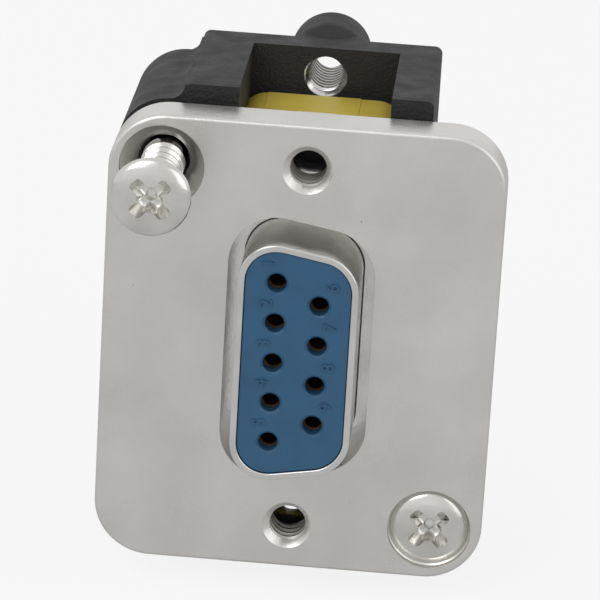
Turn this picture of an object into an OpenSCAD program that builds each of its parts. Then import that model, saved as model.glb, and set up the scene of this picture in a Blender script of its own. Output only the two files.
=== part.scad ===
// Nine-way D-sub feed-through connector on a 26 x 31 mm panel flange.
// +X right, +Y into the depth behind the panel, +Z up.
// The origin is the centre of the flange's front face.

/* [Flange plate] */
// Width of the flange plate
plate_w = 26; // [24.6:0.1:30]
// Height of the flange plate
plate_h = 31; // [30.4:0.1:36]
// Thickness of the flange plate
plate_t = 3; // [2.4:0.1:4.5]
// Corner radius of the flange plate
plate_r = 3.8; // [1:0.1:5]
// Bevel round the front edge
plate_bevel = 0.25; // [0.1:0.05:0.5]
// Length of the D-shaped opening in the plate
open_l = 18.2; // [17.8:0.1:18.8]
// Width of the D-shaped opening in the plate
open_w = 10.1; // [9.4:0.1:10.2]
// Corner radius of the D-shaped opening
open_r = 3.3; // [2.8:0.1:3.6]
// Flare round the opening's front edge
open_flare = 0.35; // [0.1:0.05:0.6]

/* [Panel screws] */
// Distance of a panel screw from both edges of its corner
screw_inset = 3.5; // [3.2:0.1:3.9]
// Diameter of a screw's thread
screw_d = 2.6; // [2.4:0.1:3.1]
// Length of a screw behind the rim of its head
screw_l = 12; // [11:0.5:14]
// Diameter of the screw head
head_d = 5.2; // [4.6:0.1:5.4]
// Height of the head's raised face
head_rise = 0.7; // [0.4:0.1:1]
// Depth of the cross recess in the head
cross_depth = 1.1; // [0.6:0.1:1.3]
// Width of one wing of the cross recess
cross_w = 0.8; // [0.5:0.05:1]
// Span of the cross recess
cross_span = 3.5; // [2.4:0.1:3.8]
// Diameter of the cone at the middle of the cross recess
cross_core_d = 1.9; // [1.2:0.1:2.2]
// Turn of the upper screw's cross from upright, in degrees
cross_turn_upper = -12; // [-45:1:45]
// Turn of the lower screw's cross from upright, in degrees
cross_turn_lower = 11; // [-45:1:45]
// Distance that the upper screw is backed out
backed_out = 7; // [0:0.5:7]
// Clearance hole for the screw in the plate
clear_d = 3.4; // [3.3:0.1:3.8]
// Straight part of the countersink
sink_straight = 0.5; // [0.3:0.1:0.8]
// Play round the head in the countersink
sink_gap = 0.2; // [0.1:0.05:0.3]

/* [Jack holes] */
// Spacing of the jack-screw holes
jack_dz = 24.99; // [24.5:0.01:25.5]
// Bore of a jack-screw thread
jack_bore_d = 2.4; // [2.2:0.05:2.6]
// Chamfer at the mouth of a jack-screw hole
jack_chamfer = 0.4; // [0.2:0.05:0.6]
// Width across flats of the clinch nut
nut_af = 4.4; // [4:0.1:4.6]
// Length of the clinch nut behind the shell's flange
nut_l = 2.3; // [1.5:0.1:2.4]
// Diameter of the nut's collar in the flange
collar_d = 3.6; // [3.2:0.1:3.8]

/* [Contacts] */
// Spacing of the contacts in a row
pitch = 2.77; // [2.7:0.01:2.8]
// Spacing of the two rows
row_gap = 2.84; // [2.7:0.01:3]
// Outer diameter of a contact's socket
socket_d = 1.7; // [1.5:0.05:1.8]
// Bore of a contact's socket
socket_bore_d = 1.1; // [1.04:0.02:1.2]
// Depth of a contact's socket
socket_depth = 5.5; // [4.5:0.1:6.5]
// Diameter of a rear pin
pin_d = 1.02; // [1:0.01:1.04]
// Diameter of the contact's body in the inner block
stem_d = 1.3; // [1.15:0.05:1.5]
// Diameter of the entry hole in the front insulator
entry_d = 1.45; // [1.2:0.05:1.5]
// Depth of the entry hole in front of the contact
entry_depth = 1.4; // [0.7:0.1:1.5]
// Lead-in round the entry hole
lead_in = 0.05; // [0.05:0.05:0.25]

/* [Front socket connector] */
// Outside length of the front shell
front_l = 16.33; // [16.2:0.01:16.5]
// Outside width of the front shell
front_w = 7.9; // [7.8:0.01:8]
// Outside corner radius of the front shell
front_r = 2.6; // [2.2:0.1:2.9]
// Slope of the shells' ends, in degrees
slope = 10; // [8:0.5:12]
// Wall of both shells
shell_wall = 0.45; // [0.35:0.05:0.5]
// Width of the front shell's turned-in lip
lip_w = 0.72; // [0.6:0.02:0.8]
// Depth of the turned-in lip
lip_l = 0.9; // [0.6:0.1:1.2]
// Gap between the lip and the insulator's nose
nose_gap = 0.18; // [0.1:0.02:0.25]
// Thickness of the shells' flanges
flange_t = 0.5; // [0.4:0.05:0.6]
// Length of the front shell's flange beyond each jack hole
flange_ear = 2.6; // [2.2:0.1:2.7]
// Width of the front shell's flange
front_flange_w = 12.5; // [11.5:0.1:12.6]
// Corner radius of the shells' flanges
flange_r = 1.5; // [0.8:0.1:3]
// Height of a shell in front of its flange
shell_out = 5.9; // [5.7:0.1:6.1]
// Depth of the front insulator's face below the shell's lip
face_recess = 0.15; // [0:0.05:0.5]
// Gap between the front insulator's shoulder and a clinch nut
shoulder_gap = 0.9; // [0.3:0.1:1.2]
// Width of the front insulator's shoulder
shoulder_w = 9.2; // [8.6:0.1:10]
// Corner radius of the front insulator's shoulder
shoulder_r = 2.2; // [1:0.1:3]
// Thickness of the front insulator's shoulder
shoulder_t = 2.5; // [2.5:0.1:3.2]

/* [Inner block] */
// Width of the wrapped inner block
block_w = 10.9; // [10.4:0.1:11]
// Height of the wrapped inner block
block_h = 26.2; // [25.8:0.1:26.3]
// Depth of the wrapped inner block
block_t = 8.3; // [7.5:0.1:9.5]
// Corner radius of the inner block
block_r = 1.7; // [1:0.1:2.5]
// Thickness of the insulating wrap
wrap_t = 0.2; // [0.1:0.05:0.25]
// Bare margin of the block at each end of the wrap
wrap_margin = 0.3; // [0.1:0.1:1]
// Position of the wrap's free end across the block
wrap_end_x = 2.6; // [1:0.1:3]

/* [Rear pin connector] */
// Inside length of the rear shell
rear_in_l = 16.92; // [16.8:0.01:17.1]
// Inside width of the rear shell
rear_in_w = 8.36; // [8.3:0.01:8.5]
// Inside corner radius of the rear shell
rear_in_r = 2.6; // [2.2:0.1:2.9]
// Step from the inner block's outline in to the rear shell's trimmed flange
rear_flange_step = 0.3; // [0.1:0.05:0.4]
// Thickness of the rear insulator
rear_ins_t = 1.7; // [1.2:0.1:2.5]
// Depth of the pin tips below the rear shell's lip
pin_inset = 0.5; // [0.2:0.1:1]

/* [Housing] */
// Width of the housing's block
house_w = 16.4; // [15.8:0.1:17.4]
// Offset of the housing's block towards the upper screw
house_dx = 0.4; // [0:0.1:0.5]
// Height that the housing stands above and below the plate
house_over = 1; // [0.5:0.1:2]
// Corner radius of the housing's block
house_r = 0.5; // [0.2:0.1:1]
// Space for the panel between the plate and the housing
panel_gap = 1.1; // [0.8:0.1:1.6]
// Thickness of the housing's rear wall
rear_wall = 2.4; // [1.8:0.1:3.2]
// Width of the windows in the housing's top and bottom
window_w = 10; // [8:0.1:10.4]
// Outer diameter of a screw boss
boss_d = 6.8; // [6:0.1:7]
// Length of a screw boss
boss_l = 12.8; // [10:0.1:13]
// Depth of the pilot hole in a screw boss
pilot_depth = 9.8; // [8.6:0.1:9.9]
// Rounding of a boss's rear edge
boss_round = 1.2; // [0.4:0.1:1.4]
// Radius of the fillet between a screw boss and the block
boss_fillet = 1; // [0.5:0.1:1.3]
// Spacing of the rear threaded inserts
insert_dz = 28.8; // [28.4:0.1:29]
// Bore of a rear insert
insert_bore_d = 2.4; // [2.2:0.05:2.6]
// Outer diameter of a rear insert
insert_d = 3.5; // [3.2:0.1:4]
// Plastic left in front of a rear insert
insert_skin = 0.5; // [0.3:0.1:1]
// Diameter of the rear insert's boss
insert_boss_d = 5.6; // [5:0.1:6]
// Height of the insert's boss behind the rear wall
insert_boss_l = 5; // [2:0.1:5.4]
// Rounding of the insert boss's front edge above the block
insert_boss_nose = 1.5; // [0.8:0.1:1.8]

/* [Clearances] */
// Gap between pieces that slide together
fit = 0.05; // [0.02:0.01:0.08]
// Gap round the wrapped block in the housing
nest_gap = 0.1; // [0.05:0.05:0.2]

/* [Hidden] */
$fn = 48;
eps = 0.01;
overlap = 0.002;                           // sinks a tangent line into its arc

// Stations along the depth
y_back = plate_t;                          // back of the plate, seat of the front flange
y_lip = plate_t - shell_out;               // front shell's lip
y_face = y_lip + face_recess;              // front insulator's face
y_shoulder = y_back + flange_t;            // front insulator's shoulder
y_block = y_shoulder + shoulder_t;         // front of the inner block
y_block_end = y_block + block_t;           // back of the inner block, rear flange begins
y_wall = y_block_end + flange_t;           // front of the housing's rear wall
y_house = y_back + panel_gap;              // front of the housing
y_house_end = y_wall + rear_wall;          // back of the housing
y_rear_lip = y_wall + shell_out;           // rear shell's lip
y_contact = y_face + entry_depth;          // front of the contacts
y_pin_tip = y_rear_lip - pin_inset;        // tips of the pins
y_rear_end = y_house_end + insert_boss_l;   // ends of the insert bosses
y_insert_end = y_rear_end - 0.4;
insert_mouth = 0.6;                        // screw clearance before and behind a rear insert

// Heads and countersinks have 45 degree cones
sink_d = head_d + 2*sink_gap;
head_cone = (head_d - screw_d)/2;
y_head = sink_straight + sink_gap;         // rim of a seated head

screw_dx = plate_w - 2*screw_inset;
screw_dz = plate_h - 2*screw_inset;
front_flange_l = jack_dz + 2*flange_ear;
shoulder_l = jack_dz - nut_af - 2*shoulder_gap;
rear_flange_l = block_h - 2*rear_flange_step;
rear_flange_w = block_w - 2*rear_flange_step;
house_h = plate_h + 2*house_over;
wrap_w = block_w + 2*wrap_t;
wrap_h = block_h + 2*wrap_t;
cavity_w = wrap_w + 2*nest_gap;
cavity_h = wrap_h + 2*nest_gap;

// Contacts 1 to 5 stand in the wide row on the left, 6 to 9 in the other
function contact_x(i) = i <= 5 ? -row_gap/2 : row_gap/2;
function contact_z(i) = i <= 5 ? (3 - i)*pitch : (7.5 - i)*pitch;

// Turns a 2D outline (x, z) into a solid from y0 to y1
module slab(y0, y1) {
    translate([0, y1, 0]) rotate([90, 0, 0]) linear_extrude(height = y1 - y0) children();
}

// Cylinder along Y
module rod(x, z, y0, y1, d) {
    translate([x, y1, z]) rotate([90, 0, 0]) cylinder(h = y1 - y0, d = d);
}

// Cone along Y
module cone(x, z, y0, y1, d0, d1) {
    translate([x, y1, z]) rotate([90, 0, 0]) cylinder(h = y1 - y0, d1 = d1, d2 = d0);
}

// Body of revolution about Y: outline of [radius, depth] points
module turned(x, z, pts) {
    translate([x, 0, z]) rotate([-90, 0, 0]) rotate_extrude() polygon(pts);
}

module rounded(w, h, r) {
    union() {
        square([w - 2*r, h], center = true);
        square([w, h - 2*r], center = true);
        for (sx = [-1, 1], sz = [-1, 1]) translate([sx*(w/2 - r), sz*(h/2 - r)]) circle(r = r);
    }
}

// D outline: long side at -X, both ends slope inwards towards +X.
// l is the length over the long side's round corners, w the width.
module dee(l, w, r) {
    xc = w/2 - r;
    zl = l/2 - r;
    zr = zl - 2*xc*tan(slope);
    sx = (r - overlap)*sin(slope);
    sz = (r - overlap)*cos(slope);
    union() {
        for (s = [-1, 1]) {
            translate([-xc, s*zl]) circle(r = r);
            translate([xc, s*zr]) circle(r = r);
        }
        polygon([[-w/2, -zl], [-xc, -zl], [-xc + sx, -zl - sz], [xc + sx, -zr - sz], [xc, -zr], [w/2, -zr],
                 [w/2, zr], [xc, zr], [xc + sx, zr + sz], [-xc + sx, zl + sz], [-xc, zl], [-w/2, zl]]);
    }
}

module tapered_dee(l, w, r, y0, y1, grow0) {
    hull() {
        slab(y0, y0 + eps) dee(l + 2*grow0, w + 2*grow0, r + grow0, $fn = 40);
        slab(y1 - eps, y1) dee(l, w, r, $fn = 40);
    }
}

// Rounded plate with a bevel round its front edge
module bevelled_plate(w, h, t, r, b) {
    union() {
        for (sx = [-1, 1], sz = [-1, 1])
            turned(sx*(w/2 - r), sz*(h/2 - r), [[0, 0], [r - b, 0], [r, b], [r, t], [0, t]]);
        translate([0, 0, -h/2 + r]) linear_extrude(height = h - 2*r)
            polygon([[-w/2 + b, 0], [w/2 - b, 0], [w/2, b], [w/2, t], [-w/2, t], [-w/2, b]]);
        rotate([0, 90, 0]) translate([0, 0, -w/2 + r]) linear_extrude(height = w - 2*r)
            polygon([[-h/2 + b, 0], [h/2 - b, 0], [h/2, b], [h/2, t], [-h/2, t], [-h/2, b]]);
    }
}

module countersunk_hole(x, z) {
    rod(x, z, -eps, sink_straight, sink_d);
    cone(x, z, sink_straight, sink_straight + (sink_d - clear_d)/2, sink_d, clear_d);
    rod(x, z, sink_straight, plate_t + eps, clear_d);
}

module jack_hole(z) {
    rod(0, z, -eps, plate_t + eps, jack_bore_d);
    cone(0, z, 0, jack_chamfer, jack_bore_d + 2*jack_chamfer, jack_bore_d);
    rod(0, z, -eps, eps, jack_bore_d + 2*jack_chamfer);
}

module flange_plate() {
    color([0.82, 0.81, 0.78]) difference() {
        bevelled_plate(plate_w, plate_h, plate_t, plate_r, plate_bevel);
        slab(-eps, plate_t + eps) dee(open_l, open_w, open_r);
        tapered_dee(open_l - 0.2, open_w - 0.2, open_r - 0.1, -eps, open_flare + 0.1, open_flare + 0.1);
        for (s = [-1, 1]) {
            jack_hole(s*jack_dz/2);
            countersunk_hole(-s*screw_dx/2, s*screw_dz/2);
        }
    }
}

module front_shell() {
    nose = 0.3;
    color([0.86, 0.86, 0.84]) difference() {
        union() {
            tapered_dee(front_l, front_w, front_r, y_lip, y_lip + nose, -nose*0.6);
            slab(y_lip + nose - eps, y_back + eps) dee(front_l, front_w, front_r);
            slab(y_back, y_back + flange_t) rounded(front_flange_w, front_flange_l, flange_r);
        }
        slab(y_lip + lip_l, y_back + flange_t + eps)
            dee(front_l - 2*shell_wall, front_w - 2*shell_wall, front_r - shell_wall);
        slab(y_lip - eps, y_lip + lip_l + eps)
            dee(front_l - 2*lip_w, front_w - 2*lip_w, front_r - lip_w);
        for (s = [-1, 1]) rod(0, s*jack_dz/2, y_back - eps, y_back + flange_t + eps, collar_d + 2*fit);
    }
}

module front_insulator() {
    inset = shell_wall + fit;
    nose = lip_w + nose_gap;
    color([0.1, 0.33, 0.5]) difference() {
        union() {
            slab(y_face, y_lip + lip_l + 2*fit) dee(front_l - 2*nose, front_w - 2*nose, front_r - nose);
            slab(y_lip + lip_l + fit, y_shoulder + eps)
                dee(front_l - 2*inset, front_w - 2*inset, front_r - inset);
            slab(y_shoulder, y_block) rounded(shoulder_w, shoulder_l, shoulder_r);
        }
        for (i = [1:9]) {
            rod(contact_x(i), contact_z(i), y_face - eps, y_block, entry_d);
            cone(contact_x(i), contact_z(i), y_face - eps, y_face + lead_in, entry_d + 2*lead_in, entry_d);
            rod(contact_x(i), contact_z(i), y_contact, y_block + eps, socket_d + 2*fit);
        }
    }
}

// One turned contact: split socket in front, pin behind
module contact(i) {
    pr = pin_d/2;
    tip = pr*0.7;
    split_w = 0.2;
    color([0.85, 0.68, 0.35]) difference() {
        turned(contact_x(i), contact_z(i), [
            [0, y_contact + socket_depth], [socket_bore_d/2, y_contact + socket_depth - 0.3],
            [socket_bore_d/2, y_contact + 0.15], [socket_bore_d/2 + 0.12, y_contact],
            [socket_d/2 - 0.05, y_contact], [socket_d/2, y_contact + 0.15], [socket_d/2, y_block],
            [stem_d/2, y_block], [stem_d/2, y_block_end], [pr, y_block_end],
            [pr, y_pin_tip - tip], [pr*0.8, y_pin_tip - tip*0.4], [pr*0.4, y_pin_tip], [0, y_pin_tip]]);
        translate([contact_x(i) - socket_d/2 - eps, y_contact - eps, contact_z(i) - split_w/2])
            cube([socket_d + 2*eps, socket_depth*0.6, split_w]);
    }
}

// Clinch nut: hexagon behind the shell's flange, collar through it
module front_nut(z) {
    color([0.8, 0.8, 0.78]) difference() {
        union() {
            rod(0, z, y_back, y_shoulder + eps, collar_d);
            translate([0, y_shoulder + nut_l, z]) rotate([90, 0, 0])
                cylinder(h = nut_l, d = nut_af/cos(30), $fn = 6);
        }
        rod(0, z, y_back - eps, y_shoulder + nut_l + eps, jack_bore_d);
    }
}

module inner_block() {
    color([0.13, 0.13, 0.14]) difference() {
        slab(y_block, y_block_end) rounded(block_w, block_h, block_r);
        for (i = [1:9]) rod(contact_x(i), contact_z(i), y_block - eps, y_block_end + eps, stem_d + 2*fit);
    }
}

// Tape wound once round the block, its free end lapped over the top
module insulating_wrap() {
    lap_x = -block_w/2 + block_r;
    color([0.84, 0.74, 0.28]) union() {
        difference() {
            slab(y_block + wrap_margin, y_block_end - wrap_margin)
                rounded(wrap_w, wrap_h, block_r + wrap_t);
            slab(y_block, y_block_end) rounded(block_w, block_h, block_r);
        }
        slab(y_block + wrap_margin, y_block_end - wrap_margin)
            translate([lap_x, block_h/2]) square([wrap_end_x - lap_x, wrap_t + nest_gap/2]);
    }
}

module rear_insulator() {
    gap = fit;
    color([0.1, 0.33, 0.5]) difference() {
        slab(y_block_end, y_block_end + rear_ins_t)
            dee(rear_in_l - 2*gap, rear_in_w - 2*gap, rear_in_r - gap);
        for (i = [1:9])
            rod(contact_x(i), contact_z(i), y_block_end - eps, y_block_end + rear_ins_t + eps,
                pin_d + 2*fit);
    }
}

module rear_shell() {
    color([0.86, 0.86, 0.84]) difference() {
        union() {
            slab(y_block_end, y_wall) rounded(rear_flange_w, rear_flange_l, flange_r);
            slab(y_wall - eps, y_rear_lip)
                dee(rear_in_l + 2*shell_wall, rear_in_w + 2*shell_wall, rear_in_r + shell_wall);
        }
        slab(y_block_end - eps, y_rear_lip + eps) dee(rear_in_l, rear_in_w, rear_in_r);
    }
}

// Outline of a screw boss with its web and fillet, at the upper left
module boss_outline(side) {
    r = boss_d/2;
    bx = -screw_dx/2;
    bz = screw_dz/2;
    f = boss_fillet;
    // centre of the fillet: outside the boss by f and left of the block's side by f
    fx = side - f;
    fz = bz + sqrt(max(0, (r + f)*(r + f) - (fx - bx)*(fx - bx)));
    difference() {
        union() {
            translate([bx, bz]) circle(r = r);
            translate([bx, bz - r]) square([side - bx + 1, 2*r]);
            polygon([[bx, bz], [fx + (bx - fx)*f/(r + f), fz + (bz - fz)*f/(r + f)],
                [fx, fz], [side + 1, fz], [side + 1, bz]]);
        }
        translate([fx, fz]) circle(r = f);
    }
}

module screw_boss(side) {
    e = boss_round;
    r = boss_d/2;
    l = boss_l;
    turned(-screw_dx/2, screw_dz/2, concat([[0, y_house], [r, y_house]],
        [for (a = [0:15:90]) [r - e + e*cos(a), y_house + l - e + e*sin(a)]], [[0, y_house + l]]));
    slab(y_house, y_house + l - e) boss_outline(side);
}

module insert_boss() {
    e = 0.9;
    r = insert_boss_d/2;
    y1 = y_house_end + insert_boss_l;
    turned(0, insert_dz/2, concat([[0, y_wall + 0.5], [r, y_wall + 0.5]],
        [for (a = [0:15:90]) [r - e + e*cos(a), y1 - e + e*sin(a)]], [[0, y1]]));
}

// Ring that rounds the insert boss's front edge where it stands above the block
module nose_ring() {
    e = insert_boss_nose;
    r = insert_boss_d/2;
    intersection() {
        turned(0, insert_dz/2, concat([[r - e, y_wall - 1], [r - e, y_house_end]],
            [for (a = [15:15:90]) [r - e + e*sin(a), y_house_end + e - e*cos(a)]],
            [[r + 1, y_house_end + e], [r + 1, y_wall - 1]]));
        translate([-insert_boss_d, y_wall - 2, house_h/2])
            cube([2*insert_boss_d, rear_wall + 6, insert_boss_d]);
    }
}

// side is the place of the block's wall beside the screw boss
module housing_half(side) {
    screw_boss(side);
    difference() {
        insert_boss();
        nose_ring();
    }
}

module housing() {
    color([0.1, 0.1, 0.11]) difference() {
        union() {
            slab(y_house, y_house_end) translate([-house_dx, 0]) rounded(house_w, house_h, house_r);
            housing_half(-house_w/2 - house_dx);
            rotate([0, 180, 0]) housing_half(-house_w/2 + house_dx);
        }
        slab(y_house - eps, y_wall) rounded(cavity_w, cavity_h, block_r + wrap_t + nest_gap);
        translate([-window_w/2, y_house - eps, -house_h])
            cube([window_w, y_wall - y_house + eps, 2*house_h]);
        slab(y_wall - eps, y_house_end + eps)
            dee(rear_in_l + 2*shell_wall + 2*nest_gap, rear_in_w + 2*shell_wall + 2*nest_gap,
                rear_in_r + shell_wall + nest_gap);
        for (s = [-1, 1]) {
            rod(-s*screw_dx/2, s*screw_dz/2, y_house - eps, y_house + pilot_depth, screw_d + 2*fit);
            rod(0, s*insert_dz/2, y_wall + insert_skin, y_insert_end, insert_d + 2*fit);
            rod(0, s*insert_dz/2, y_wall - eps, y_wall + insert_skin + eps,
                insert_bore_d + insert_mouth);
            rod(0, s*insert_dz/2, y_insert_end - eps, y_rear_end + eps, insert_bore_d + insert_mouth);
        }
    }
}

module rear_insert(z) {
    color([0.8, 0.8, 0.78]) difference() {
        rod(0, z, y_wall + insert_skin, y_insert_end, insert_d);
        rod(0, z, y_wall + insert_skin - eps, y_insert_end + eps, insert_bore_d);
    }
}

// Raised countersunk screw with a cross recess; y is the rim of its head
module panel_screw(x, z, y, turn) {
    r = head_d/2;
    dome_r = (r*r + head_rise*head_rise)/(2*head_rise);
    half = asin(r/dome_r);
    tip = 1.2;
    color([0.84, 0.83, 0.8]) difference() {
        turned(x, z, concat(
            [for (a = [0:half/6:half + 0.001]) [dome_r*sin(a), y - head_rise + dome_r - dome_r*cos(a)]],
            [[screw_d/2, y + head_cone], [screw_d/2, y + screw_l - tip],
                [0.5, y + screw_l], [0, y + screw_l]]));
        for (q = [0, 90]) translate([x, y - head_rise - eps, z]) rotate([0, turn + q, 0])
            translate([-cross_span/2, 0, -cross_w/2]) cube([cross_span, cross_depth + eps, cross_w]);
        cone(x, z, y - head_rise - eps, y - head_rise + cross_depth + 0.3, cross_core_d, cross_core_d/3);
    }
}

flange_plate();
front_shell();
front_insulator();
for (i = [1:9]) contact(i);
front_nut(jack_dz/2);  // front_nut_top
front_nut(-jack_dz/2);  // front_nut_bottom
inner_block();
insulating_wrap();
rear_insulator();
rear_shell();
housing();
rear_insert(insert_dz/2);  // rear_insert_top
rear_insert(-insert_dz/2);  // rear_insert_bottom
panel_screw(-screw_dx/2, screw_dz/2, y_head - backed_out, cross_turn_upper);  // screw_upper
panel_screw(screw_dx/2, -screw_dz/2, y_head, cross_turn_lower);  // screw_lower
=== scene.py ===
"""Dresses the nine-way D-sub feed-through.

Each class models one sub-assembly: plated flange, socket connector, panel screws,
moulded housing and pin connector. Lengths are in millimetres unless a line says MM.
"""

import logging
import math
from collections.abc import Callable
from dataclasses import dataclass
from enum import Enum

import bpy
from mathutils import Matrix, Vector

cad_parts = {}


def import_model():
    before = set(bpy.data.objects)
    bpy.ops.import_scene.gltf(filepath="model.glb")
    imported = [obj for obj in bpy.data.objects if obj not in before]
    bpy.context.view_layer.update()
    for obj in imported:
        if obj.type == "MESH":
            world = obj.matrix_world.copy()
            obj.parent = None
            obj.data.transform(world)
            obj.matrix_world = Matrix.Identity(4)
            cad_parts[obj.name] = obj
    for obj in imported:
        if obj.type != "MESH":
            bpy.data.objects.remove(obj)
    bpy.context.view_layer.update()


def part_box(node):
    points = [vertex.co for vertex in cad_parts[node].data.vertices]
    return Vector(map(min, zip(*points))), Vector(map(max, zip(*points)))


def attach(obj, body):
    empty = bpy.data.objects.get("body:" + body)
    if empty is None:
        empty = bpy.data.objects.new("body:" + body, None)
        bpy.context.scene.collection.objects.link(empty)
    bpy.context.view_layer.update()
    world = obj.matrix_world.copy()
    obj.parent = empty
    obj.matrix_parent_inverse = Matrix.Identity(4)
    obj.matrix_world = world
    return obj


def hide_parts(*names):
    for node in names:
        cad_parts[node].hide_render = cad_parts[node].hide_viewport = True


MM = 0.001
JACK_DZ = 24.99        # distance of the two jack screws
INSERT_DZ = 28.8       # distance of the two rear inserts
TAP_PITCH = 0.635      # thread of jack holes and inserts
TAP_BORE = 2.4         # bore between that thread's crests
DEE_SLOPE = 10         # slope of a D outline's ends, in degrees
NEAR = 0.01            # how close a point counts as on a place

log = logging.getLogger("connector")
Point = tuple[float, float]
Colour = tuple[float, float, float]


class Row(Enum):
    """The two rows of contacts: centre across, and height of the first in pitches."""

    WIDE = (-1.42, 2.0)
    NARROW = (1.42, 1.5)


# ---------------------------------------------------------------- bench


def activate(obj: bpy.types.Object) -> bpy.types.Object:
    """Selects one object alone, in object mode.

    Args:
        obj: The object.

    Returns:
        The same object, now active.
    """
    if bpy.context.mode != "OBJECT":
        bpy.ops.object.mode_set(mode="OBJECT")
    bpy.ops.object.select_all(action="DESELECT")
    bpy.context.view_layer.objects.active = obj
    obj.select_set(True)
    return obj


def clear_selection() -> None:
    """Leaves nothing selected before a primitive is added."""
    if bpy.context.mode != "OBJECT":
        bpy.ops.object.mode_set(mode="OBJECT")
    bpy.ops.object.select_all(action="DESELECT")


def settle(name: str) -> bpy.types.Object:
    """Names the active primitive and puts its place into its mesh.

    Args:
        name: Name of the object and of its mesh.

    Returns:
        The object, at the origin and unscaled.
    """
    obj = bpy.context.view_layer.objects.active
    activate(obj)
    bpy.ops.object.transform_apply(location=True, rotation=True, scale=True)
    obj.name = name
    obj.data.name = name
    return obj


def apply_all(obj: bpy.types.Object) -> None:
    """Applies every modifier of a piece in order.

    Args:
        obj: The piece.
    """
    activate(obj)
    for modifier in list(obj.modifiers):
        bpy.ops.object.modifier_apply(modifier=modifier.name)


def rod(name: str, x: float, z: float, y0: float, y1: float, d0: float,
        d1: float | None = None, sides: int = 64) -> bpy.types.Object:
    """Adds a cylinder or cone along Y.

    Args:
        name: Name of the piece.
        x, z: Place of the axis, in millimetres.
        y0, y1: Front and back, in millimetres.
        d0, d1: Diameters in front and at the back.
        sides: Number of sides.

    Returns:
        The new object.
    """
    clear_selection()
    bpy.ops.mesh.primitive_cone_add(
        vertices=sides, radius1=d0 / 2 * MM, radius2=(d0 if d1 is None else d1) / 2 * MM,
        depth=(y1 - y0) * MM, location=(x * MM, (y0 + y1) / 2 * MM, z * MM),
        rotation=(-math.pi / 2, 0, 0))
    return settle(name)


def box(name: str, low: tuple[float, float, float],
        high: tuple[float, float, float]) -> bpy.types.Object:
    """Adds a block between two corners.

    Args:
        name: Name of the piece.
        low, high: Opposite corners, in millimetres.

    Returns:
        The new object.
    """
    clear_selection()
    bpy.ops.mesh.primitive_cube_add(
        size=1, location=[(a + b) / 2 * MM for a, b in zip(low, high)],
        scale=[(b - a) * MM for a, b in zip(low, high)])
    return settle(name)


def choose(obj: bpy.types.Object, test: Callable[[Vector], bool], kind: str = "VERT") -> int:
    """Selects the vertices or faces that a test accepts, and enters edit mode.

    Args:
        obj: The piece.
        test: Takes a point in millimetres and returns whether it is chosen.
        kind: VERT or FACE.

    Returns:
        How many were selected.
    """
    activate(obj)
    bpy.ops.object.mode_set(mode="EDIT")
    bpy.ops.mesh.select_mode(type=kind)
    bpy.ops.mesh.select_all(action="DESELECT")
    bpy.ops.object.mode_set(mode="OBJECT")
    count = 0
    items = obj.data.vertices if kind == "VERT" else obj.data.polygons
    for item in items:
        point = item.co if kind == "VERT" else item.center
        item.select = bool(test(point / MM))
        count += item.select
    bpy.ops.object.mode_set(mode="EDIT")
    return count


def outline_prism(name: str, corners: list[Point], radii: list[float], y0: float,
                  y1: float, steps: int = 16) -> bpy.types.Object:
    """Adds a prism along Y whose outline has four corners, each with its own radius.

    Args:
        name: Name of the piece.
        corners: The sharp corners (x, z): upper left, upper right, lower right, lower left.
        radii: The distance from each sharp corner to where its arc starts.
        y0, y1: Front and back, in millimetres.
        steps: Segments of each arc.

    Returns:
        The new object.
    """
    clear_selection()
    bpy.ops.mesh.primitive_plane_add(size=2 * MM, rotation=(math.pi / 2, 0, 0))
    obj = settle(name)
    signs = [(-1, 1), (1, 1), (1, -1), (-1, -1)]
    for (sx, sz), (x, z) in zip(signs, corners):
        choose(obj, lambda p, a=sx, b=sz: abs(p.x - a) < NEAR and abs(p.z - b) < NEAR)
        bpy.ops.transform.translate(value=((x - sx) * MM, 0, (z - sz) * MM))
    for (x, z), reach in zip(corners, radii):
        choose(obj, lambda p, a=x, b=z: abs(p.x - a) < NEAR and abs(p.z - b) < NEAR)
        bpy.ops.mesh.bevel(offset=reach * MM, segments=steps, affect="VERTICES",
                           clamp_overlap=False)
    bpy.ops.mesh.select_all(action="SELECT")
    bpy.ops.transform.translate(value=(0, y0 * MM, 0))
    bpy.ops.mesh.extrude_region_move(TRANSFORM_OT_translate={"value": (0, (y1 - y0) * MM, 0)})
    bpy.ops.mesh.select_all(action="SELECT")
    bpy.ops.mesh.normals_make_consistent(inside=False)
    bpy.ops.object.mode_set(mode="OBJECT")
    return obj


def rounded_prism(name: str, w: float, h: float, r: float, y0: float, y1: float,
                  steps: int = 16) -> bpy.types.Object:
    """Adds a rounded rectangle's prism along Y.

    Args:
        name: Name of the piece.
        w, h: Width along X and height along Z.
        r: Radius of the corners.
        y0, y1: Front and back.
        steps: Segments of each corner.

    Returns:
        The new object.
    """
    x, z = w / 2, h / 2
    return outline_prism(name, [(-x, z), (x, z), (x, -z), (-x, -z)], [r] * 4, y0, y1, steps)


def dee_prism(name: str, length: float, width: float, r: float, y0: float, y1: float,
              steps: int = 16) -> bpy.types.Object:
    """Adds a D outline's prism along Y, its long side at -X.

    Args:
        name: Name of the piece.
        length, width: Length along Z and width along X.
        r: Radius of the corners.
        y0, y1: Front and back.
        steps: Segments of each corner.

    Returns:
        The new object.
    """
    s, c = math.sin(math.radians(DEE_SLOPE)), math.cos(math.radians(DEE_SLOPE))
    xc, zl = width / 2 - r, length / 2 - r
    wide = zl + r * (1 + s) / c
    narrow = zl + (r - (xc + width / 2) * s) / c
    tight = r / math.tan(math.radians((90 - DEE_SLOPE) / 2))
    open_ = r / math.tan(math.radians((90 + DEE_SLOPE) / 2))
    return outline_prism(name, [(-width / 2, wide), (width / 2, narrow),
                                (width / 2, -narrow), (-width / 2, -wide)],
                         [tight, open_, open_, tight], y0, y1, steps)


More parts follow.
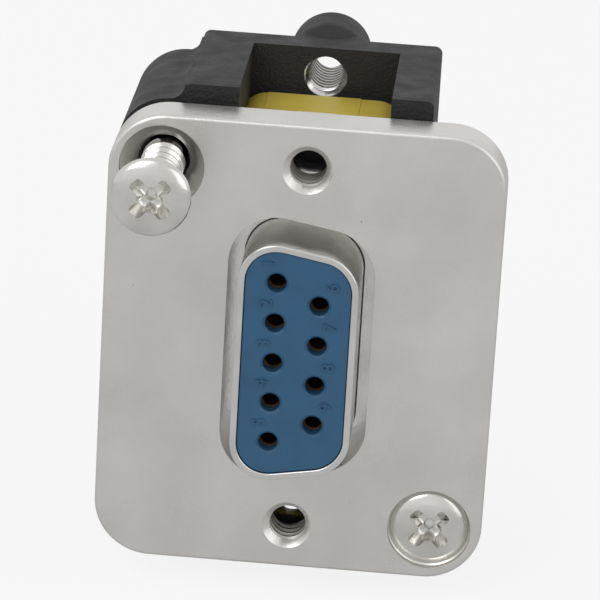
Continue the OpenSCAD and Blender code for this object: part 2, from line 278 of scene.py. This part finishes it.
def lathe(name: str, profile: list[Point], x: float, z: float,
          sides: int = 64) -> bpy.types.Object:
    """Spins a profile of (radius, y) points round an axis along Y.

    Args:
        name: Name of the piece.
        profile: Points from axis to axis, in millimetres.
        x, z: Place of the axis.
        sides: Steps of the spin.

    Returns:
        The closed turned piece.
    """
    clear_selection()
    bpy.ops.mesh.primitive_plane_add(size=0.5 * MM)
    obj = settle(name)
    bpy.ops.object.mode_set(mode="EDIT")
    bpy.ops.mesh.select_all(action="SELECT")
    bpy.ops.mesh.merge(type="CENTER")
    r, y = profile[0]
    bpy.ops.transform.translate(value=((x + r) * MM, y * MM, z * MM))
    for (r0, y0), (r1, y1) in zip(profile, profile[1:]):
        bpy.ops.mesh.extrude_vertices_move(
            TRANSFORM_OT_translate={"value": ((r1 - r0) * MM, (y1 - y0) * MM, 0)})
    bpy.ops.mesh.select_all(action="SELECT")
    bpy.ops.mesh.spin(steps=sides, angle=2 * math.pi, center=(x * MM, 0, z * MM),
                      axis=(0, 1, 0))
    bpy.ops.mesh.select_all(action="SELECT")
    bpy.ops.mesh.remove_doubles(threshold=1e-6)
    bpy.ops.mesh.normals_make_consistent(inside=False)
    bpy.ops.object.mode_set(mode="OBJECT")
    return obj


def thread_plug(name: str, x: float, z: float, y0: float, turns: int, pitch: float,
                root_d: float, crest_d: float, steps: int = 36) -> bpy.types.Object:
    """Winds a closed threaded plug along Y.

    Args:
        name: Name of the piece.
        x, z: Place of the axis.
        y0: Where the thread starts.
        turns: Number of turns.
        pitch: Rise of one turn.
        root_d, crest_d: Diameters at root and crest.
        steps: Segments of a turn.

    Returns:
        The closed plug.
    """
    clear_selection()
    bpy.ops.mesh.primitive_plane_add(size=0.5 * MM)
    obj = settle(name)
    bpy.ops.object.mode_set(mode="EDIT")
    bpy.ops.mesh.select_all(action="SELECT")
    bpy.ops.mesh.merge(type="CENTER")
    root, crest = root_d / 2, crest_d / 2
    profile = [(root, 0), (root, 0.3), (crest, 0.6), (crest, 0.7), (root, 1.0)]
    bpy.ops.transform.translate(value=(root * MM, 0, 0))
    for (r0, t0), (r1, t1) in zip(profile, profile[1:]):
        bpy.ops.mesh.extrude_vertices_move(
            TRANSFORM_OT_translate={"value": ((r1 - r0) * MM, (t1 - t0) * pitch * MM, 0)})
    bpy.ops.object.mode_set(mode="OBJECT")
    screw = obj.modifiers.new("wind", "SCREW")
    screw.axis, screw.angle, screw.screw_offset = "Y", 2 * math.pi, pitch * MM
    screw.iterations, screw.steps, screw.render_steps = turns, steps, steps
    apply_all(obj)
    bpy.ops.object.mode_set(mode="EDIT")
    bpy.ops.mesh.select_all(action="SELECT")
    bpy.ops.mesh.remove_doubles(threshold=2e-6)
    bpy.ops.mesh.fill_holes(sides=0)
    bpy.ops.mesh.normals_make_consistent(inside=False)
    bpy.ops.transform.translate(value=(x * MM, y0 * MM, z * MM))
    bpy.ops.object.mode_set(mode="OBJECT")
    return obj


def combine(obj: bpy.types.Object, other: bpy.types.Object, how: str = "DIFFERENCE") -> None:
    """Cuts, adds or intersects one piece with another.

    Args:
        obj: The piece that stays.
        other: The other piece, which is used up.
        how: DIFFERENCE, UNION or INTERSECT.
    """
    activate(obj)
    modifier = obj.modifiers.new("combine", "BOOLEAN")
    modifier.operation, modifier.solver, modifier.object = how, "EXACT", other
    apply_all(obj)
    bpy.data.objects.remove(other, do_unlink=True)


def soften(obj: bpy.types.Object, width: float, segments: int = 3, angle: float = 35) -> None:
    """Rounds a piece's sharp edges and smooths its curves.

    Args:
        obj: The piece.
        width: Width of the rounding.
        segments: Steps of the rounding.
        angle: The least angle, in degrees, that is rounded.
    """
    activate(obj)
    bevel = obj.modifiers.new("edge", "BEVEL")
    bevel.width, bevel.segments = width * MM, segments
    bevel.limit_method, bevel.angle_limit = "ANGLE", math.radians(angle)
    bevel.miter_outer = "MITER_ARC"
    apply_all(obj)
    smooth(obj)


def smooth(obj: bpy.types.Object, angle: float = 35) -> None:
    """Smooths a piece's curves and keeps its sharp edges.

    Args:
        obj: The piece.
        angle: The least angle, in degrees, that stays sharp.
    """
    activate(obj)
    bpy.ops.object.shade_smooth_by_angle(angle=math.radians(angle))
    weigh = obj.modifiers.new("flat", "WEIGHTED_NORMAL")
    weigh.mode, weigh.weight, weigh.keep_sharp = "FACE_AREA", 100, True
    apply_all(obj)


def carry_over(name: str, node: str) -> bpy.types.Object:
    """Copies a CAD node's mesh, merged, as the start of a finished piece.

    Args:
        name: Name of the new piece.
        node: Name of the CAD node.

    Returns:
        The new object.
    """
    source = bpy.data.objects[node]
    obj = bpy.data.objects.new(name, source.data.copy())
    bpy.context.scene.collection.objects.link(obj)
    activate(obj)
    bpy.ops.object.mode_set(mode="EDIT")
    bpy.ops.mesh.select_all(action="SELECT")
    bpy.ops.mesh.remove_doubles(threshold=1e-6)
    bpy.ops.mesh.customdata_custom_splitnormals_clear()
    bpy.ops.mesh.dissolve_limited(angle_limit=math.radians(0.5))
    bpy.ops.object.mode_set(mode="OBJECT")
    return obj


# ---------------------------------------------------------------- finishes


def new_group(name: str, inputs: dict[str, float],
              outputs: dict[str, str]) -> bpy.types.NodeTree:
    """Makes a node group with float inputs and typed outputs.

    Args:
        name: Name of the group.
        inputs: Each input's default.
        outputs: Each output's socket type.

    Returns:
        The empty group.
    """
    group = bpy.data.node_groups.new(name, "ShaderNodeTree")
    for label, value in inputs.items():
        socket = group.interface.new_socket(label, in_out="INPUT", socket_type="NodeSocketFloat")
        socket.default_value = value
    for label, kind in outputs.items():
        group.interface.new_socket(label, in_out="OUTPUT", socket_type=kind)
    return group


def variation_group() -> bpy.types.NodeTree:
    """Makes the group of a value that drifts between Low and High over the surface.

    Returns:
        The node group, named drift.
    """
    group = new_group("drift", {"Scale": 200.0, "Detail": 3.0, "Low": 0.0, "High": 1.0},
                      {"Value": "NodeSocketFloat"})
    n, li = group.nodes, group.links
    gin, gout = n.new("NodeGroupInput"), n.new("NodeGroupOutput")
    coord, noise = n.new("ShaderNodeTexCoord"), n.new("ShaderNodeTexNoise")
    span = n.new("ShaderNodeMapRange")
    span.inputs["From Min"].default_value, span.inputs["From Max"].default_value = 0.3, 0.7
    li.new(coord.outputs["Object"], noise.inputs["Vector"])
    li.new(gin.outputs["Scale"], noise.inputs["Scale"])
    li.new(gin.outputs["Detail"], noise.inputs["Detail"])
    li.new(noise.outputs["Fac"], span.inputs["Value"])
    li.new(gin.outputs["Low"], span.inputs["To Min"])
    li.new(gin.outputs["High"], span.inputs["To Max"])
    li.new(span.outputs["Result"], gout.inputs["Value"])
    return group


def speck_group() -> bpy.types.NodeTree:
    """Makes the group of a mask of small scattered specks.

    Returns:
        The node group, named specks.
    """
    group = new_group("specks", {"Scale": 900.0, "Size": 0.1, "Sparse": 0.6},
                      {"Mask": "NodeSocketFloat"})
    n, li = group.nodes, group.links
    gin, gout = n.new("NodeGroupInput"), n.new("NodeGroupOutput")
    coord, cells = n.new("ShaderNodeTexCoord"), n.new("ShaderNodeTexVoronoi")
    noise = n.new("ShaderNodeTexNoise")
    near, rare, both = (n.new("ShaderNodeMath") for _ in range(3))
    near.operation, rare.operation, both.operation = "LESS_THAN", "GREATER_THAN", "MULTIPLY"
    noise.inputs["Scale"].default_value = 260
    li.new(coord.outputs["Object"], cells.inputs["Vector"])
    li.new(coord.outputs["Object"], noise.inputs["Vector"])
    li.new(gin.outputs["Scale"], cells.inputs["Scale"])
    li.new(cells.outputs["Distance"], near.inputs[0])
    li.new(gin.outputs["Size"], near.inputs[1])
    li.new(noise.outputs["Fac"], rare.inputs[0])
    li.new(gin.outputs["Sparse"], rare.inputs[1])
    li.new(near.outputs[0], both.inputs[0])
    li.new(rare.outputs[0], both.inputs[1])
    li.new(both.outputs[0], gout.inputs["Mask"])
    return group


@dataclass(frozen=True)
class Finish:
    """A finish with a drifting colour and roughness, specks and a fine grain."""

    name: str
    colour: Colour
    dark: Colour
    metallic: float
    rough_low: float
    rough_high: float
    drift_scale: float
    grain_scale: float
    grain_depth: float
    speck_size: float = 0.0
    speck_colour: Colour = (0.2, 0.16, 0.12)
    specular: float = 0.5

    def build(self) -> bpy.types.Material:
        """Builds the material.

        Returns:
            The procedural material.
        """
        mat = bpy.data.materials.new(self.name)
        mat.use_nodes = True
        n, li = mat.node_tree.nodes, mat.node_tree.links
        shader = n["Principled BSDF"]
        shader.inputs["Metallic"].default_value = self.metallic
        shader.inputs["Specular IOR Level"].default_value = self.specular
        drift = n.new("ShaderNodeGroup")
        drift.node_tree = bpy.data.node_groups["drift"]
        drift.inputs["Scale"].default_value = self.drift_scale
        mix = n.new("ShaderNodeMix")
        mix.data_type = "RGBA"
        mix.inputs["A"].default_value = (*self.dark, 1)
        mix.inputs["B"].default_value = (*self.colour, 1)
        li.new(drift.outputs["Value"], mix.inputs["Factor"])
        colour = mix.outputs["Result"]
        if self.speck_size > 0:
            specks = n.new("ShaderNodeGroup")
            specks.node_tree = bpy.data.node_groups["specks"]
            specks.inputs["Size"].default_value = self.speck_size
            over = n.new("ShaderNodeMix")
            over.data_type = "RGBA"
            over.inputs["B"].default_value = (*self.speck_colour, 1)
            li.new(specks.outputs["Mask"], over.inputs["Factor"])
            li.new(colour, over.inputs["A"])
            colour = over.outputs["Result"]
        li.new(colour, shader.inputs["Base Color"])
        rough = n.new("ShaderNodeGroup")
        rough.node_tree = bpy.data.node_groups["drift"]
        rough.inputs["Scale"].default_value = self.drift_scale * 2.3
        rough.inputs["Low"].default_value = self.rough_low
        rough.inputs["High"].default_value = self.rough_high
        li.new(rough.outputs["Value"], shader.inputs["Roughness"])
        grain = n.new("ShaderNodeGroup")
        grain.node_tree = bpy.data.node_groups["drift"]
        grain.inputs["Scale"].default_value = self.grain_scale
        bump = n.new("ShaderNodeBump")
        bump.inputs["Distance"].default_value = self.grain_depth * MM
        li.new(grain.outputs["Value"], bump.inputs["Height"])
        li.new(bump.outputs["Normal"], shader.inputs["Normal"])
        return mat


PLATE = Finish("plate_nickel", (0.79, 0.775, 0.745), (0.70, 0.685, 0.655), 0.9, 0.26, 0.36,
               160, 2600, 0.006, 0.06)
SHELL = Finish("shell_nickel", (0.80, 0.79, 0.77), (0.68, 0.67, 0.65), 1.0, 0.12, 0.22,
               300, 3000, 0.004)
HARDWARE = Finish("screw_nickel", (0.80, 0.79, 0.76), (0.66, 0.64, 0.61), 1.0, 0.14, 0.26,
                  420, 3000, 0.004)
BLUE = Finish("blue_insulator", (0.030, 0.125, 0.245), (0.024, 0.105, 0.215), 0.0, 0.38, 0.5,
              500, 5000, 0.006)
HOUSING = Finish("housing_plastic", (0.020, 0.020, 0.022), (0.013, 0.013, 0.014), 0.0, 0.5, 0.68,
                 260, 5200, 0.035)
BLOCK = Finish("block_plastic", (0.016, 0.016, 0.018), (0.010, 0.010, 0.011), 0.0, 0.5, 0.6,
               260, 4200, 0.01)
TAPE = Finish("yellow_tape", (0.88, 0.70, 0.11), (0.80, 0.61, 0.09), 0.0, 0.3, 0.45,
              320, 1500, 0.012)
GILT = Finish("contact_gilt", (0.40, 0.27, 0.12), (0.24, 0.15, 0.07), 1.0, 0.3, 0.42,
              500, 3000, 0.003)


def dress(obj: bpy.types.Object, finish: Finish) -> None:
    """Gives a finished piece its material and body.

    Args:
        obj: The piece.
        finish: Its finish, built at first use.
    """
    mat = bpy.data.materials.get(finish.name) or finish.build()
    obj.data.materials.clear()
    obj.data.materials.append(mat)
    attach(obj, "root")
    log.info("%s: %d faces", obj.name, len(obj.data.polygons))


# ---------------------------------------------------------------- sub-assemblies


@dataclass
class FlangePlate:
    """The plated flange with its D opening, countersinks and tapped jack holes."""

    w: float = 26
    h: float = 31
    t: float = 3
    r: float = 3.8
    bevel: float = 0.25
    open_l: float = 18.2
    open_w: float = 9.7
    open_r: float = 3.3
    mouth_d: float = 4.3
    mouth_l: float = 0.45
    tap_d: float = 2.84
    sink_d: float = 5.6
    sink_l: float = 0.5
    cone_end: float = 1.6
    hole_d: float = 3.4
    edge: float = 0.09
    screw_x: float = 9.5
    screw_z: float = 12.0

    def build(self) -> None:
        """Models and dresses the plate."""
        plate = rounded_prism("plate", self.w, self.h, self.r, 0, self.t, 20)
        choose(plate, lambda p: p.y < NEAR, "FACE")
        bpy.ops.mesh.bevel(offset=self.bevel * MM, segments=3, affect="EDGES")
        bpy.ops.object.mode_set(mode="OBJECT")
        combine(plate, dee_prism("opening", self.open_l, self.open_w, self.open_r, -1, self.t + 1))
        for side in (-1, 1):
            z = side * JACK_DZ / 2
            combine(plate, rod("mouth", 0, z, -0.5, self.mouth_l, self.mouth_d, TAP_BORE))
            combine(plate, thread_plug("tap", 0, z, -1.2, 9, TAP_PITCH, TAP_BORE, self.tap_d))
            x, z = -side * self.screw_x, side * self.screw_z
            combine(plate, rod("sink", x, z, -0.5, self.sink_l, self.sink_d))
            combine(plate, rod("cone", x, z, self.sink_l - NEAR, self.cone_end,
                               self.sink_d, self.hole_d))
            combine(plate, rod("through", x, z, 1, self.t + 1, self.hole_d))
        soften(plate, self.edge, 2, 40)
        dress(plate, PLATE)
        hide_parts("flange_plate")


@dataclass
class FrontConnector:
    """The nickel shell, the blue insulator with its numbers, and the nine contacts."""

    length: float = 16.33
    width: float = 7.9
    r: float = 2.6
    wall: float = 0.45
    pitch: float = 2.77
    lip: float = -2.9
    face: float = -2.75
    hole_d: float = 1.3
    lead_d: float = 1.9
    lead_l: float = 0.15
    cavity_d: float = 1.8
    digit_size: float = 1.2
    digit_height: float = 0.1
    digit_up: float = 1.4
    digit_out: Point = (-0.6, 0.85)

    def places(self) -> list[tuple[int, float, float]]:
        """Numbers and places the contacts.

        Returns:
            Each contact's number, x and z.
        """
        found = []
        for row, count in ((Row.WIDE, 5), (Row.NARROW, 4)):
            x, top = row.value
            for i in range(count):
                found.append((len(found) + 1, x, (top - i) * self.pitch))
        return found

    def build(self) -> None:
        """Models and dresses the connector."""
        self.build_shell()
        self.build_insulator()
        self.build_numbers()
        self.build_contacts()

    def build_shell(self) -> None:
        """Draws the shell up from its flange and rounds its lip."""
        shell = dee_prism("front_shell_skin", self.length, self.width, self.r, self.lip, 3.2)
        combine(shell, rounded_prism("flange", 12.5, 30.19, 1.5, 3, 3.5, 8), "UNION")
        combine(shell, dee_prism("inside", self.length - 2 * self.wall,
                                 self.width - 2 * self.wall, self.r - self.wall,
                                 self.lip - 1, 4.5))
        for side in (-1, 1):
            combine(shell, rod("seat", 0, side * JACK_DZ / 2, 2.5, 4, 3.7))
        soften(shell, 0.19, 4, 50)
        dress(shell, SHELL)
        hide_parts("front_shell")

    def build_insulator(self) -> None:
        """Moulds the insulator with its nine led-in holes."""
        inset = self.wall + 0.05
        body = dee_prism("insulator", self.length - 2 * inset, self.width - 2 * inset,
                         self.r - inset, self.face, 3.6)
        combine(body, rounded_prism("shoulder", 9.2, 18.79, 2.2, 3.5, 6.0, 8), "UNION")
        for _, x, z in self.places():
            combine(body, rod("lead", x, z, self.face - self.lead_l, self.face + self.lead_l,
                              self.lead_d, self.hole_d, 40))
            combine(body, rod("hole", x, z, self.face - 1, 7, self.hole_d, None, 40))
            combine(body, rod("cavity", x, z, self.face + 1, 7, self.cavity_d, None, 40))
        soften(body, 0.05, 2, 50)
        dress(body, BLUE)
        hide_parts("front_insulator")

    def build_numbers(self) -> None:
        """Raises the contact numbers on the insulator's face, turned a quarter turn."""
        made = []
        upright = (Matrix.Rotation(math.pi / 2, 4, "X") @ Matrix.Rotation(math.pi / 2, 4, "Z"))
        for number, x, z in self.places():
            clear_selection()
            bpy.ops.object.text_add()
            text = bpy.context.view_layer.objects.active
            text.data.body = str(number)
            text.data.size = self.digit_size * MM
            text.data.extrude = self.digit_height * MM
            text.data.align_x, text.data.align_y = "CENTER", "CENTER"
            activate(text)
            bpy.ops.object.convert(target="MESH")
            out = self.digit_out[0] if x < 0 else self.digit_out[1]
            place = ((x + out) * MM, (self.face - 0.02) * MM, (z + self.digit_up) * MM)
            text.matrix_world = Matrix.Translation(place) @ upright
            made.append(settle(f"number_{number}"))
        activate(made[0])
        for text in made:
            text.select_set(True)
        bpy.ops.object.join()
        made[0].name = "contact_numbers"
        dress(made[0], BLUE)

    def build_contacts(self) -> None:
        """Turns the nine contacts: socket in front, stem, and pin behind."""
        socket = [(0, 3.75), (0.55, 3.45), (0.55, -1.6), (0.67, -1.75), (0.8, -1.75),
                  (0.85, -1.6), (0.85, 6.0)]
        stem = [(0.65, 6.0), (0.65, 14.3)]
        pin = [(0.51, 14.3), (0.51, 19.84), (0.41, 20.06), (0.2, 20.2), (0, 20.2)]
        for number, x, z in self.places():
            contact = lathe(f"contact_pin_{number}", socket + stem + pin, x, z, 32)
            smooth(contact)
            dress(contact, GILT)
            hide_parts(f"contact_{number}")


@dataclass
class PanelScrew:
    """A raised countersunk self-tapping screw with a cross recess."""

    name: str
    node: str
    x: float
    z: float
    rim: float
    turn: float = 45
    head_r: float = 2.6
    cross_half: float = 2.0
    wing_half: float = 0.5
    root_d: float = 2.0
    crest_d: float = 2.9
    ridge_pitch: float = 1.06

    def build(self) -> None:
        """Models head, recess and wound shank."""
        body = self.build_head()
        ridge = self.build_ridge()
        activate(body)
        ridge.select_set(True)
        bpy.ops.object.join()
        dress(body, HARDWARE)
        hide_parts(self.node)

    def build_head(self) -> bpy.types.Object:
        """Turns head and core and cuts the cross recess.

        Returns:
            The head with its plain core.
        """
        y, r = self.rim, self.head_r
        dome = [(0, y - 0.7)]
        dome += [(r * math.sin(a), y - 0.7 * math.cos(a) ** 0.8)
                 for a in (math.radians(d) for d in range(10, 90, 10))]
        profile = dome + [(r, y), (r - 0.06, y + 0.1), (1.45, y + 1.15), (1.05, y + 1.35),
                          (1.05, y + 9.6), (0.55, y + 11.3), (0.0, y + 12.0)]
        body = lathe(self.name, profile, self.x, self.z, 72)
        wings = []
        for k in range(2):
            wing = box("wing", (-self.cross_half, y - 1.2, -self.wing_half),
                       (self.cross_half, y + 0.4, self.wing_half))
            choose(wing, lambda p, lim=y + 0.3: p.y > lim)
            bpy.ops.transform.resize(value=(0.42, 1, 0.75), center_override=(0, 0, 0))
            bpy.ops.object.mode_set(mode="OBJECT")
            turned = Matrix.Rotation(math.radians(self.turn + 90 * k), 4, "Y")
            rounder = wing.modifiers.new("lobe", "BEVEL")
            rounder.width, rounder.segments = 0.22 * MM, 4
            apply_all(wing)
            activate(wing)
            wing.matrix_world = Matrix.Translation((self.x * MM, 0, self.z * MM)) @ turned
            bpy.ops.object.transform_apply(location=True, rotation=True, scale=True)
            wings.append(wing)
        for wing in wings:
            combine(body, wing)
        combine(body, rod("core", self.x, self.z, y - 0.9, y + 0.7, 1.9, 0.5, 32))
        smooth(body, 38)
        return body

    def build_ridge(self) -> bpy.types.Object:
        """Winds the thread and draws its end in to a point.

        Returns:
            The threaded sleeve round the core.
        """
        ridge = thread_plug("ridge", self.x, self.z, self.rim + 1.3, 8, self.ridge_pitch,
                            self.root_d, self.crest_d)
        tip = self.rim + 8.0
        for k in range(9):
            start = tip + k * 0.22
            if choose(ridge, lambda p, a=start: a <= p.y):
                bpy.ops.transform.resize(value=(0.93, 1, 0.93),
                                         center_override=(self.x * MM, 0, self.z * MM))
        bpy.ops.object.mode_set(mode="OBJECT")
        smooth(ridge, 50)
        return ridge


@dataclass
class Housing:
    """The moulded rear housing, the wrapped block and the threaded inserts."""

    edge: float = 0.14
    insert_d: float = 3.5
    insert_tap_d: float = 2.9

    def build(self) -> None:
        """Finishes the housing, the inner block, its tape and the inserts."""
        shell = carry_over("housing_moulding", "housing")
        soften(shell, self.edge, 3, 40)
        dress(shell, HOUSING)
        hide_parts("housing")
        for name, node, finish, slot, edge in (
                ("inner_moulding", "inner_block", BLOCK, "block", 0.1),
                ("tape_wrap", "insulating_wrap", TAPE, "wrap", 0.03)):
            piece = carry_over(name, node)
            soften(piece, edge, 2, 40)
            dress(piece, finish)
            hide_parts(node)
        for side, name in ((1, "rear_insert_top"), (-1, "rear_insert_bottom")):
            z = side * INSERT_DZ / 2
            low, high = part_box(name)
            y0, y1 = low.y / MM, high.y / MM
            insert = rod(f"{name}_sleeve", 0, z, y0, y1, self.insert_d)
            combine(insert, rod("mouth", 0, z, y0 - 0.5, y0 + 0.3, 3.9, TAP_BORE))
            combine(insert, thread_plug("tap", 0, z, y0 - 1.2, 14, TAP_PITCH, TAP_BORE,
                                        self.insert_tap_d))
            soften(insert, 0.05, 2, 50)
            dress(insert, HARDWARE)
            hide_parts(name)


@dataclass
class RearConnector:
    """The pin connector's shell and insulator and the front clinch nuts."""

    def build(self) -> None:
        """Finishes each piece from its solid."""
        for name, node, finish, slot, edge in (
                ("rear_shell_skin", "rear_shell", SHELL, "shell", 0.12),
                ("rear_insulator_moulding", "rear_insulator", BLUE, "insulator", 0.06),
                ("nut_top", "front_nut_top", HARDWARE, "hardware", 0.1),
                ("nut_bottom", "front_nut_bottom", HARDWARE, "hardware", 0.1)):
            piece = carry_over(name, node)
            soften(piece, edge, 2, 50)
            dress(piece, finish)
            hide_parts(node)


@dataclass
class Studio:
    """The floor, the soft light and the camera."""

    azimuth: float = 3.2
    elevation: float = 19.9
    roll: float = 3.39
    distance: float = 0.2545
    target: tuple[float, float, float] = (0.0, 0.0, 0.00356)
    lens: float = 233.04
    floor_z: float = -0.01725

    def build(self) -> None:
        """Builds floor, world, lamps and camera."""
        self.build_floor()
        self.build_world()
        self.add_lamp("key", (-0.35, -0.5, 0.55), 0.5, 1.5)
        self.add_lamp("fill", (0.5, -0.45, 0.25), 0.5, 0.5)
        self.build_camera()

    def build_floor(self) -> None:
        """Lays a pale floor below the part."""
        clear_selection()
        bpy.ops.mesh.primitive_plane_add(size=4, location=(0, 0, self.floor_z))
        floor = settle("floor")
        mat = bpy.data.materials.new("floor_white")
        mat.use_nodes = True
        n, li = mat.node_tree.nodes, mat.node_tree.links
        shader = n["Principled BSDF"]
        shader.inputs["Base Color"].default_value = (0.86, 0.86, 0.86, 1)
        shader.inputs["Roughness"].default_value = 0.9
        glow, path, ray, mix = (n.new("ShaderNodeEmission"), n.new("ShaderNodeLightPath"),
                                n.new("ShaderNodeMath"), n.new("ShaderNodeMixShader"))
        ray.operation = "MULTIPLY"
        ray.inputs[1].default_value = 0.86
        li.new(path.outputs["Is Camera Ray"], ray.inputs[0])
        li.new(ray.outputs[0], mix.inputs["Fac"])
        li.new(shader.outputs[0], mix.inputs[1])
        li.new(glow.outputs[0], mix.inputs[2])
        li.new(mix.outputs[0], n["Material Output"].inputs["Surface"])
        floor.data.materials.append(mat)

    def build_world(self) -> None:
        """Lights the room evenly and shows white to the camera and in gloss."""
        world = bpy.data.worlds.new("studio")
        bpy.context.scene.world = world
        world.use_nodes = True
        n, li = world.node_tree.nodes, world.node_tree.links
        n.clear()
        path, power = n.new("ShaderNodeLightPath"), n.new("ShaderNodeMapRange")
        high, room = n.new("ShaderNodeMath"), n.new("ShaderNodeMath")
        back, out = n.new("ShaderNodeBackground"), n.new("ShaderNodeOutputWorld")
        for node in (high, room):
            node.operation = "MAXIMUM"
        li.new(path.outputs["Is Camera Ray"], high.inputs[0])
        li.new(path.outputs["Is Glossy Ray"], high.inputs[1])
        li.new(high.outputs[0], room.inputs[0])
        li.new(path.outputs["Is Transmission Ray"], room.inputs[1])
        li.new(room.outputs[0], power.inputs["Value"])
        power.inputs["To Min"].default_value, power.inputs["To Max"].default_value = 0.6, 1.0
        li.new(power.outputs["Result"], back.inputs["Strength"])
        li.new(back.outputs[0], out.inputs["Surface"])

    def add_lamp(self, name: str, place: tuple[float, float, float], size: float,
                 power: float) -> None:
        """Adds one soft square lamp aimed at the part.

        Args:
            name: Name of the lamp.
            place: Where it hangs, in metres.
            size: Length of its side, in metres.
            power: Its power, in watts.
        """
        data = bpy.data.lights.new(name, "AREA")
        data.size, data.energy = size, power
        lamp = bpy.data.objects.new(name, data)
        bpy.context.scene.collection.objects.link(lamp)
        lamp.location = place
        lamp.rotation_euler = (-Vector(place)).to_track_quat("-Z", "Y").to_euler()

    def build_camera(self) -> None:
        """Aims the camera, turned a little about its own axis."""
        az, el, roll = map(math.radians, (self.azimuth, self.elevation, self.roll))
        back = Vector((math.sin(az) * math.cos(el), -math.cos(az) * math.cos(el), math.sin(el)))
        place = Vector(self.target) + back * self.distance
        right = (-back).cross(Vector((0, 0, 1))).normalized()
        up = right.cross(-back)
        side = right * math.cos(roll) + up * math.sin(roll)
        head = up * math.cos(roll) - right * math.sin(roll)
        data = bpy.data.cameras.new("camera")
        data.lens, data.sensor_width, data.clip_start = self.lens, 36.0, 0.01
        camera = bpy.data.objects.new("camera", data)
        bpy.context.scene.collection.objects.link(camera)
        turn = Matrix((side, head, back)).transposed().to_4x4()
        camera.matrix_world = Matrix.Translation(place) @ turn
        bpy.context.scene.camera = camera


def corners(bounds: tuple[Vector, Vector]) -> list[list[float]]:
    """Turns a box into plain lists of numbers.

    Args:
        bounds: Its two opposite corners.

    Returns:
        The corners as lists.
    """
    return [[float(v) for v in corner] for corner in bounds]


def main() -> None:
    """Builds every sub-assembly in order."""
    logging.basicConfig(level=logging.INFO, format="%(name)s: %(message)s")
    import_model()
    variation_group()
    speck_group()
    Studio().build()
    FlangePlate().build()
    FrontConnector().build()
    PanelScrew("screw_backed_out", "screw_upper", -9.5, 12.0, -6.3).build()
    PanelScrew("screw_seated", "screw_lower", 9.5, -12.0, 0.7).build()
    Housing().build()
    RearConnector().build()
    bpy.context.scene.view_settings.view_transform = "Standard"


if __name__ == "__main__":
    main()
